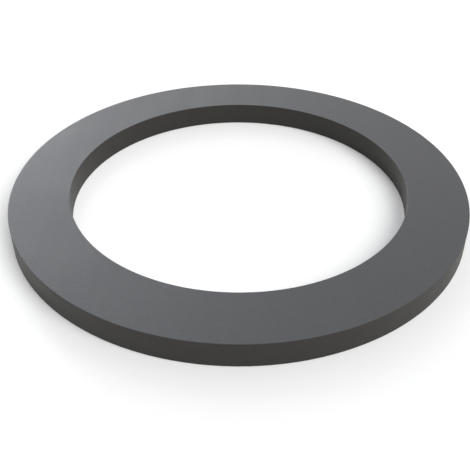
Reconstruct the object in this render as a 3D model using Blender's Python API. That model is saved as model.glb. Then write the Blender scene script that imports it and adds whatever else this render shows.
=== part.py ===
"""Flat rubber seal for a pipe union: one plain ring, cut square, with crisp edges.

The ring lies flat, as it would on a bench. Its axis is Z, its lower sealing face is the plane z = 0,
and the origin is the middle of that face. A union nut squeezes the ring between two pipe ends: the
two flat faces seal, the bore lets the water through, and the outer wall clears the nut's thread.
All sizes are in metres.
"""

import math

import bpy

# Sizes that a maker would change
OUTER_DIAMETER = 0.0565
BORE_DIAMETER = 0.042
THICKNESS = 0.003
EDGE_RADIUS = 0.00005

# An edge's rounding may take up to this share of the ring's height or width
MOST_EDGE_SHARE = 0.45

# How finely the round shapes are drawn
TURN_STEPS = 144
CORNER_STEPS = 3
SEAM_MERGE = 1e-6

# Black rubber, which its shine makes dark grey under a bright light
RUBBER_COLOUR = (0.028, 0.030, 0.033, 1.0)
RUBBER_ROUGHNESS = 0.55


def clear_scene():
    """Removes the objects of the file that the script runs in."""
    for obj in list(bpy.data.objects):
        bpy.data.objects.remove(obj)


def rubber_material():
    """Black rubber: no metal, and a soft sheen."""
    material = bpy.data.materials.new("black_rubber")
    material.use_nodes = True
    shader = material.node_tree.nodes["Principled BSDF"]
    shader.inputs["Base Color"].default_value = RUBBER_COLOUR
    shader.inputs["Metallic"].default_value = 0.0
    shader.inputs["Roughness"].default_value = RUBBER_ROUGHNESS
    return material


def corner_arc(centre_x, centre_z, radius, start_deg):
    """Points of a quarter circle in the XZ plane, turning clockwise from start_deg."""
    points = []
    for step in range(CORNER_STEPS + 1):
        angle = math.radians(start_deg - 90.0 * step / CORNER_STEPS)
        x = centre_x + radius * math.cos(angle)
        z = centre_z + radius * math.sin(angle)
        points.append((x, 0.0, z))
    return points


def section_points():
    """The ring's section at +X: down the outer wall, in along the lower face, up the bore's wall."""
    outer_radius = OUTER_DIAMETER / 2
    bore_radius = BORE_DIAMETER / 2
    width = outer_radius - bore_radius
    edge = min(EDGE_RADIUS, MOST_EDGE_SHARE * THICKNESS, MOST_EDGE_SHARE * width)
    outer_x = outer_radius - edge
    bore_x = bore_radius + edge
    upper_z = THICKNESS - edge
    lower_z = edge
    return (
        corner_arc(outer_x, upper_z, edge, 90.0)
        + corner_arc(outer_x, lower_z, edge, 0.0)
        + corner_arc(bore_x, lower_z, edge, -90.0)
        + corner_arc(bore_x, upper_z, edge, 180.0)
    )


def make_seal_ring():
    """The section as a closed loop, turned a full circle about Z."""
    points = section_points()
    edges = [(i, (i + 1) % len(points)) for i in range(len(points))]
    mesh = bpy.data.meshes.new("seal_ring")
    mesh.from_pydata(points, edges, [])
    mesh.materials.append(rubber_material())
    ring = bpy.data.objects.new("seal_ring", mesh)
    bpy.context.scene.collection.objects.link(ring)

    turn = ring.modifiers.new("turn", "SCREW")
    turn.axis = "Z"
    turn.angle = 2 * math.pi
    turn.steps = TURN_STEPS
    turn.render_steps = TURN_STEPS
    turn.use_merge_vertices = True
    turn.merge_threshold = SEAM_MERGE
    turn.use_smooth_shade = True

    # The flat faces give the shading its direction, so only the rounded edges look round
    ring.modifiers.new("flat_face_shading", "WEIGHTED_NORMAL")
    return ring


def main():
    clear_scene()
    make_seal_ring()


main()
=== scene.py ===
"""A pipe union seal: one flat ring cut from black rubber sheet, lying on a white studio floor.

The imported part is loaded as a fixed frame. A finely drawn ring then stands for its CAD solid, with
the same sizes in the same place. Lengths are in metres. The ring's axis is Z, and its lower face
is the plane z = 0.
"""

import math

import bpy
import numpy as np
from bpy.props import FloatProperty, FloatVectorProperty, IntProperty, PointerProperty
from mathutils import Matrix, Vector


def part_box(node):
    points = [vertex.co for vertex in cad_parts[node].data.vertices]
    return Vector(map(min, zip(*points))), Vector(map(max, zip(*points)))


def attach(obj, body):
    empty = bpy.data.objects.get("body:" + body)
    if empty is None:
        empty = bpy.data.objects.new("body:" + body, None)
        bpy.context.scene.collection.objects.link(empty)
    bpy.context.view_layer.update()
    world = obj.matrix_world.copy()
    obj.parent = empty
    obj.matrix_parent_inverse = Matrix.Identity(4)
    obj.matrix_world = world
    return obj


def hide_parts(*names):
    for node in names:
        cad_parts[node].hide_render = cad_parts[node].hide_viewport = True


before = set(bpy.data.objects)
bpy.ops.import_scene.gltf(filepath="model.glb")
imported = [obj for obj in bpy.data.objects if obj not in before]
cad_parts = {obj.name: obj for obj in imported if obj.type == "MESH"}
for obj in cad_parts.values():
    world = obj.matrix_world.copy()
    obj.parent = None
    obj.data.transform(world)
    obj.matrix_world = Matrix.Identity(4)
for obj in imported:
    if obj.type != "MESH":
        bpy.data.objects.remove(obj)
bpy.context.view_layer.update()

bl_info = {
    "name": "Pipe union seal",
    "version": (1, 0, 0),
    "blender": (4, 5, 0),
    "location": "3D View > Sidebar > Union seal",
    "description": "Makes a flat rubber ring seal and the white studio that it lies in",
    "category": "Object",
}

RING_LOW, RING_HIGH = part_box("seal_ring")
CAD_POINTS = np.array([point.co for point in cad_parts["seal_ring"].data.vertices])
BORE_RADIUS = float(np.hypot(CAD_POINTS[:, 0], CAD_POINTS[:, 1]).min())
MM = 0.001

# Rows of points that draw the ring's section, on each rounded edge and on each flat between them
CORNER_ROWS = 7
FLAT_ROWS = 7

RUBBER_IOR = 1.48
# The rubber's patterns, by their real sizes
GRAIN_WIDTH = 0.22 * MM  # the grit of the rolls is about 0.1 mm, drawn coarser so that it shows
GRAIN_DEPTH = 0.0065 * MM
CLOUD_WIDTH = 5.0 * MM  # soft patches where the skin is a little more or less polished
STREAK_WIDTH = 0.9 * MM  # faint streaks, the way the sheet was rolled
STREAK_STRETCH = 0.03
STREAK_TURN = math.radians(24.0)
DRAG_WIDTH = 0.25 * MM  # fine upright lines that the cutter leaves on the walls
DRAG_DEPTH = 0.008 * MM
DRAG_STRETCH = 0.04
# A noise pattern mostly stays between these two values
NOISE_LOW, NOISE_HIGH = 0.3, 0.7
# How much the patterns change the colour, as a share of it, and the roughness
COLOUR_SWING = 0.12
CLOUD_ROUGHNESS = 0.025
STREAK_ROUGHNESS = 0.01

# Soft panels far off: where each stands, as an angle from +X towards +Y, its height over the floor,
# and the angle that it fills as seen from the ring, all in degrees
LAMPS = {
    "back": (102.0, 32.0, 22.0),
    "low_back": (117.0, 8.0, 17.0),
    "key": (315.0, 48.0, 48.0),
    "fill": (54.0, 48.0, 150.0),
}
COOL_LAMPS = ("back", "low_back")

# The floor lies this far under the ring's lower face, so that the two don't share a plane
FLOOR_GAP = 0.05 * MM
# The photograph is a crop: its middle lies this far from the ring's, as a share of its width
PICTURE_SHIFT = (-0.0082, -0.0747)
CAMERA_ROLL = math.radians(0.159)
# How near and how far the camera sees, in metres
CAMERA_REACH = (0.005, 10.0)


def linear_colour(hex_colour):
    """An sRGB hex colour as linear red, green and blue."""
    parts = [int(hex_colour[i : i + 2], 16) / 255 for i in (1, 3, 5)]
    return tuple(c / 12.92 if c <= 0.04045 else ((c + 0.055) / 1.055) ** 2.4 for c in parts)


class UnionSealRing(bpy.types.PropertyGroup):
    """Sizes and finish of the rubber ring"""

    outer_diameter: FloatProperty(
        name="Outer diameter",
        description="Across the outer wall, which clears the thread of the union nut",
        default=RING_HIGH.x - RING_LOW.x,
        min=0.005,
        precision=5,
        unit="LENGTH",
    )
    bore_diameter: FloatProperty(
        name="Bore diameter",
        description="Across the hole that the water runs through",
        default=2 * BORE_RADIUS,
        min=0.001,
        precision=5,
        unit="LENGTH",
    )
    thickness: FloatProperty(
        name="Thickness",
        description="Height of the ring as it lies flat: the thickness of the rubber sheet",
        default=RING_HIGH.z - RING_LOW.z,
        min=0.0005,
        precision=5,
        unit="LENGTH",
    )
    edge_radius: FloatProperty(
        name="Edge radius",
        description="Rounding of the four edges, which a sharp cutter leaves almost square",
        default=0.00005,
        min=0.00001,
        precision=6,
        unit="LENGTH",
    )
    turn_steps: IntProperty(
        name="Steps round the ring",
        description="How many flats draw the full circle",
        default=432,
        min=24,
    )
    # Painted light: the faces' colour is paler and cool, a painted cool sheen over the rubber's own
    # colour
    face_colour_with_painted_sheen: FloatVectorProperty(
        name="Face colour",
        description="The rolled faces, which a thin grey bloom makes paler than the rubber inside",
        default=linear_colour("#2F3033"),
        min=0.0,
        max=1.0,
        subtype="COLOR",
    )
    # Painted shade: the walls' colour is darker and warmer, painted shade and a warm painted
    # reflection over the rubber's own colour
    wall_colour_with_painted_shade: FloatVectorProperty(
        name="Wall colour",
        description="The cut walls, which show the bare black rubber",
        default=linear_colour("#1D1B16"),
        min=0.0,
        max=1.0,
        subtype="COLOR",
    )
    roughness: FloatProperty(
        name="Roughness",
        description="How dull the rubber is",
        default=0.55,
        min=0.0,
        max=1.0,
        subtype="FACTOR",
    )


class UnionSealStudio(bpy.types.PropertyGroup):
    """The floor, the light and the camera"""

    floor_width: FloatProperty(
        name="Floor width",
        description="Side of the square white floor",
        default=4.0,
        min=0.1,
        unit="LENGTH",
    )
    floor_colour: FloatVectorProperty(
        name="Floor colour",
        description="Matt white of the floor",
        default=linear_colour("#F9F9F9"),
        min=0.0,
        max=1.0,
        subtype="COLOR",
    )
    floor_glow: FloatProperty(
        name="Floor glow",
        description="White that only the camera and shiny things see, which lights nothing",
        default=0.092,
        min=0.0,
    )
    back_colour: FloatVectorProperty(
        name="Back colour",
        description="Cool white of the back lamp and the low back lamp",
        default=linear_colour("#F6F9FF"),
        min=0.0,
        max=1.0,
        subtype="COLOR",
    )
    back_strength: FloatProperty(
        name="Back lamp",
        description="Strength of the small panel behind, which gives the upper face its sheen",
        default=0.46,
        min=0.0,
    )
    low_back_strength: FloatProperty(
        name="Low back lamp",
        description="Strength of the strip near the floor behind, which brightens the far left",
        default=1.75,
        min=0.0,
    )
    key_strength: FloatProperty(
        name="Key lamp",
        description="Strength of the panel at the front right, which casts the shadows",
        default=2.11,
        min=0.0,
    )
    fill_strength: FloatProperty(
        name="Fill lamp",
        description="Strength of the very wide panel above, which softens the shadows",
        default=1.61,
        min=0.0,
    )
    lens: FloatProperty(
        name="Lens",
        description="Focal length of the camera in millimetres, on a sensor 36 mm wide",
        default=53.94,
        min=1.0,
        unit="CAMERA",
    )
    camera_distance: FloatProperty(
        name="Camera distance",
        description="From the middle of the ring's lower face to the camera",
        default=0.09088,
        min=0.01,
        precision=5,
        unit="LENGTH",
    )
    camera_elevation: FloatProperty(
        name="Camera elevation",
        description="How high the camera stands over the floor, as an angle at the ring's middle",
        default=math.radians(34.503),
        subtype="ANGLE",
    )


def add_node(tree, kind, inputs=None, **settings):
    """Adds a node with its own settings. Each input is a value, or a socket to link to it."""
    node = tree.nodes.new(kind)
    for name, value in settings.items():
        setattr(node, name, value)
    for key, value in (inputs or {}).items():
        if isinstance(value, bpy.types.NodeSocket):
            tree.links.new(value, node.inputs[key])
        else:
            node.inputs[key].default_value = value
    return node


def empty_material(name):
    """A material without nodes, and its node tree."""
    material = bpy.data.materials.new(name)
    material.use_nodes = True
    material.node_tree.nodes.clear()
    return material, material.node_tree


def cut_rubber_sheet(ring):
    """EPDM rubber sheet, rolled between steel rolls and cut with a sharp tool.

    The eye sees a near-black skin with a broad, soft shine. The rolls leave a fine grain, faint
    streaks one way and cloudy patches. The faces are painted paler and cool, a painted cool
    sheen, and the walls darker and a little warmer, painted shade with a warm painted
    reflection, over the rubber's own near-black. The cutter leaves fine upright lines on the walls.
    """
    material, tree = empty_material("cut_rubber_sheet")
    place = add_node(tree, "ShaderNodeTexCoord").outputs["Object"]
    wall = add_node(tree, "ShaderNodeAttribute", attribute_name="cut_wall").outputs["Fac"]

    def noise(width, vector, detail):
        inputs = {"Vector": vector, "Scale": 1 / width, "Detail": detail}
        return add_node(tree, "ShaderNodeTexNoise", inputs).outputs["Fac"]

    def stretched(scale, turn=0.0):
        inputs = {"Vector": place, "Rotation": (0.0, 0.0, turn), "Scale": scale}
        return add_node(tree, "ShaderNodeMapping", inputs).outputs["Vector"]

    def swing(pattern, low, high):
        span = {"From Min": NOISE_LOW, "From Max": NOISE_HIGH, "To Min": low, "To Max": high}
        return add_node(tree, "ShaderNodeMapRange", {"Value": pattern, **span}).outputs["Result"]

    def sums(*values):
        total = values[0]
        for value in values[1:]:
            total = add_node(tree, "ShaderNodeMath", {0: total, 1: value}).outputs["Value"]
        return total

    def by_wall(on_face, on_wall):
        inputs = {"Factor": wall, "A": on_face, "B": on_wall}
        return add_node(tree, "ShaderNodeMix", inputs).outputs["Result"]

    grain = noise(GRAIN_WIDTH, place, 2.0)
    clouds = noise(CLOUD_WIDTH, place, 3.0)
    streaks = noise(STREAK_WIDTH, stretched((1.0, STREAK_STRETCH, 1.0), STREAK_TURN), 1.0)
    drag = noise(DRAG_WIDTH, stretched((1.0, 1.0, DRAG_STRETCH)), 2.0)

    # Sockets 6 and 7 and output 2 are the colour ones of a Mix node
    # Painted light: the faces get the paler, cool colour of a painted sheen, the walls the darker,
    # warmer one of painted shade
    tones_with_painted_sheen_and_shade = add_node(
        tree,
        "ShaderNodeMix",
        {0: wall, 6: (*ring.face_colour_with_painted_sheen, 1.0), 7: (*ring.wall_colour_with_painted_shade, 1.0)},
        data_type="RGBA",
    ).outputs[2]
    uneven = sums(
        swing(clouds, -COLOUR_SWING, COLOUR_SWING),
        swing(grain, 1 - COLOUR_SWING, 1 + COLOUR_SWING),
    )
    tinted = add_node(tree, "ShaderNodeHueSaturation", {"Color": tones_with_painted_sheen_and_shade, "Value": uneven})

    roughness = sums(
        ring.roughness,
        swing(clouds, -CLOUD_ROUGHNESS, CLOUD_ROUGHNESS),
        swing(streaks, -STREAK_ROUGHNESS, STREAK_ROUGHNESS),
    )

    relief = by_wall(swing(grain, 0.0, GRAIN_DEPTH), swing(drag, 0.0, DRAG_DEPTH))
    facing = add_node(tree, "ShaderNodeBump", {"Height": relief, "Strength": 1.0, "Distance": 1.0})

    shader = add_node(
        tree,
        "ShaderNodeBsdfPrincipled",
        {
            "Base Color": tinted.outputs["Color"],
            "Roughness": roughness,
            "IOR": RUBBER_IOR,
            "Normal": facing.outputs["Normal"],
        },
    )
    add_node(tree, "ShaderNodeOutputMaterial", {"Surface": shader.outputs["BSDF"]})
    return material


def seen_strength(tree, strength):
    """The strength for rays from the camera, off shiny surfaces or through clear ones, else 0."""
    ray = add_node(tree, "ShaderNodeLightPath").outputs
    seen = ray["Is Camera Ray"]
    for kind in ("Is Glossy Ray", "Is Transmission Ray"):
        either = add_node(tree, "ShaderNodeMath", {0: seen, 1: ray[kind]}, operation="MAXIMUM")
        seen = either.outputs["Value"]
    scaled = add_node(tree, "ShaderNodeMath", {0: seen, 1: strength}, operation="MULTIPLY")
    return scaled.outputs["Value"]


def matt_white_floor(studio):
    """Matt white painted board: no shine, and a glow that lifts the paint to full white."""
    material, tree = empty_material("matt_white_paint")
    paint = add_node(tree, "ShaderNodeBsdfDiffuse", {"Color": (*studio.floor_colour, 1.0)})
    strength = seen_strength(tree, studio.floor_glow)
    glow = add_node(tree, "ShaderNodeEmission", {"Strength": strength})
    parts = {0: paint.outputs["BSDF"], 1: glow.outputs["Emission"]}
    both = add_node(tree, "ShaderNodeAddShader", parts)
    add_node(tree, "ShaderNodeOutputMaterial", {"Surface": both.outputs["Shader"]})
    return material


def ring_outline(ring):
    """The ring's section at +X, as points (radius, height) and the way each faces.

    Each edge is a quarter circle about a centre that stands in by the edge radius. Its point at
    angle a is centre + radius (cos a, sin a) and faces (cos a, sin a). The flat to the next edge is
    evenly spaced rows that face as the quarter circle's end does. The outline starts at the upper
    outer edge and goes down.
    """
    edge = ring.edge_radius
    right, left = ring.outer_diameter / 2 - edge, ring.bore_diameter / 2 + edge
    top, bottom = ring.thickness - edge, edge
    centres = np.array([(right, top), (right, bottom), (left, bottom), (left, top)])
    starts = np.pi / 2 * np.array([1, 0, -1, -2])
    angles = starts[:, None] - np.linspace(0.0, np.pi / 2, CORNER_ROWS)
    facing = np.stack([np.cos(angles), np.sin(angles)], axis=-1)
    arcs = centres[:, None] + edge * facing

    begins = arcs[:, -1:]
    ends = np.roll(arcs[:, :1], -1, axis=0)
    share = np.linspace(0.0, 1.0, FLAT_ROWS + 2)[1:-1, None]
    flats = begins + share * (ends - begins)
    flat_facing = np.repeat(facing[:, -1:], FLAT_ROWS, axis=1)
    points = np.concatenate([arcs, flats], axis=1).reshape(-1, 2)
    return points, np.concatenate([facing, flat_facing], axis=1).reshape(-1, 2)


def turned(pairs, steps):
    """Carries pairs (r, z) round Z: at turn a, a pair becomes (r cos a, r sin a, z)."""
    angle = np.arange(steps)[:, None] * (2 * np.pi / steps)
    radius, height = pairs.T
    x, y = radius * np.cos(angle), radius * np.sin(angle)
    return np.stack([x, y, np.broadcast_to(height, x.shape)], axis=-1).reshape(-1, 3)


def closed_grid(steps, rows):
    """Quads of a grid that closes both ways, facing out where the rows run down the outside."""
    here = np.arange(steps * rows).reshape(steps, rows)
    ahead = np.roll(here, -1, axis=0)
    quads = [here, np.roll(here, -1, axis=1), np.roll(ahead, -1, axis=1), ahead]
    return np.stack(quads, axis=-1).reshape(-1, 4)


def make_ring(ring):
    """The ring as one closed surface, shaded by its outline's facing. Its walls have cut_wall 1."""
    outline, facing = ring_outline(ring)
    points = turned(outline, ring.turn_steps)
    normals = turned(facing, ring.turn_steps)
    faces = closed_grid(ring.turn_steps, len(outline))
    mesh = bpy.data.meshes.new("rubber_ring")
    mesh.from_pydata(points, [], faces.tolist())
    mesh.shade_smooth()
    mesh.normals_split_custom_set_from_vertices(normals)
    wall = mesh.attributes.new("cut_wall", "FLOAT", "POINT")
    wall.data.foreach_set("value", 1.0 - normals[:, 2] ** 2)
    mesh.materials.append(cut_rubber_sheet(ring))
    piece = bpy.data.objects.new("rubber_ring", mesh)
    bpy.context.scene.collection.objects.link(piece)
    return piece


class UNION_SEAL_OT_make_ring(bpy.types.Operator):
    """Makes the rubber ring in place of its CAD solid"""

    bl_idname = "union_seal.make_ring"
    bl_label = "Make the ring"

    def execute(self, context):
        piece = make_ring(context.scene.union_seal_ring)
        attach(piece, "root")
        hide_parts("seal_ring")
        return {"FINISHED"}


def make_floor(studio):
    """A flat white square, with the ring at its middle."""
    corners = studio.floor_width / 2 * np.array([(-1, -1, 0), (1, -1, 0), (1, 1, 0), (-1, 1, 0)])
    mesh = bpy.data.meshes.new("floor")
    mesh.from_pydata(corners - (0, 0, FLOOR_GAP), [], [(0, 1, 2, 3)])
    mesh.materials.append(matt_white_floor(studio))
    floor = bpy.data.objects.new("floor", mesh)
    bpy.context.scene.collection.objects.link(floor)
    return floor


def light_studio(studio):
    """The soft lamps, and a white surround that is only seen: it lights nothing."""
    scene = bpy.context.scene
    for name, (azimuth, height, width) in LAMPS.items():
        lamp = bpy.data.lights.new(name, "SUN")
        lamp.energy = getattr(studio, name + "_strength")
        if name in COOL_LAMPS:
            lamp.color = studio.back_colour
        lamp.angle = math.radians(width)
        stand = bpy.data.objects.new(name, lamp)
        turn = Matrix.Rotation(math.radians(azimuth), 4, "Z")
        tilt = Matrix.Rotation(math.radians(90 - height), 4, "Y")
        stand.matrix_world = turn @ tilt
        scene.collection.objects.link(stand)

    world = bpy.data.worlds.new("white_surround")
    world.use_nodes = True
    tree = world.node_tree
    tree.nodes.clear()
    inputs = {"Color": (1.0, 1.0, 1.0, 1.0), "Strength": seen_strength(tree, 1.0)}
    white = add_node(tree, "ShaderNodeBackground", inputs)
    add_node(tree, "ShaderNodeOutputWorld", {"Surface": white.outputs["Background"]})
    scene.world = world


def place_camera(studio):
    """The camera where the photograph was taken, aimed at the middle of the ring's lower face."""
    camera = bpy.data.objects.new("camera", bpy.data.cameras.new("camera"))
    camera.data.lens = studio.lens
    camera.data.shift_x, camera.data.shift_y = PICTURE_SHIFT
    camera.data.clip_start, camera.data.clip_end = CAMERA_REACH
    height = studio.camera_elevation
    back = Vector((0.0, -math.cos(height), math.sin(height)))
    aim = back.to_track_quat("Z", "Y").to_matrix().to_4x4()
    roll = Matrix.Rotation(CAMERA_ROLL, 4, "Z")
    camera.matrix_world = Matrix.Translation(back * studio.camera_distance) @ aim @ roll
    bpy.context.scene.collection.objects.link(camera)
    bpy.context.scene.camera = camera


class UNION_SEAL_OT_make_studio(bpy.types.Operator):
    """Makes the floor, the lights and the camera"""

    bl_idname = "union_seal.make_studio"
    bl_label = "Make the studio"

    def execute(self, context):
        studio = context.scene.union_seal_studio
        make_floor(studio)
        light_studio(studio)
        place_camera(studio)
        context.scene.view_settings.view_transform = "Standard"
        return {"FINISHED"}


class UNION_SEAL_PT_sidebar(bpy.types.Panel):
    """Sizes, finish and studio of the union seal"""

    bl_idname = "UNION_SEAL_PT_sidebar"
    bl_label = "Pipe union seal"
    bl_space_type = "VIEW_3D"
    bl_region_type = "UI"
    bl_category = "Union seal"

    def draw(self, context):
        groups = (
            (context.scene.union_seal_ring, UNION_SEAL_OT_make_ring),
            (context.scene.union_seal_studio, UNION_SEAL_OT_make_studio),
        )
        for settings, maker in groups:
            box = self.layout.box()
            for name in type(settings).__annotations__:
                box.prop(settings, name)
            box.operator(maker.bl_idname)


CLASSES = (
    UnionSealRing,
    UnionSealStudio,
    UNION_SEAL_OT_make_ring,
    UNION_SEAL_OT_make_studio,
    UNION_SEAL_PT_sidebar,
)


def register():
    for cls in CLASSES:
        bpy.utils.register_class(cls)
    bpy.types.Scene.union_seal_ring = PointerProperty(type=UnionSealRing)
    bpy.types.Scene.union_seal_studio = PointerProperty(type=UnionSealStudio)


def unregister():
    del bpy.types.Scene.union_seal_studio
    del bpy.types.Scene.union_seal_ring
    for cls in reversed(CLASSES):
        bpy.utils.unregister_class(cls)


def main():
    """Makes the ring and the studio."""
    register()
    bpy.ops.union_seal.make_ring()
    bpy.ops.union_seal.make_studio()


if __name__ == "__main__":
    main()
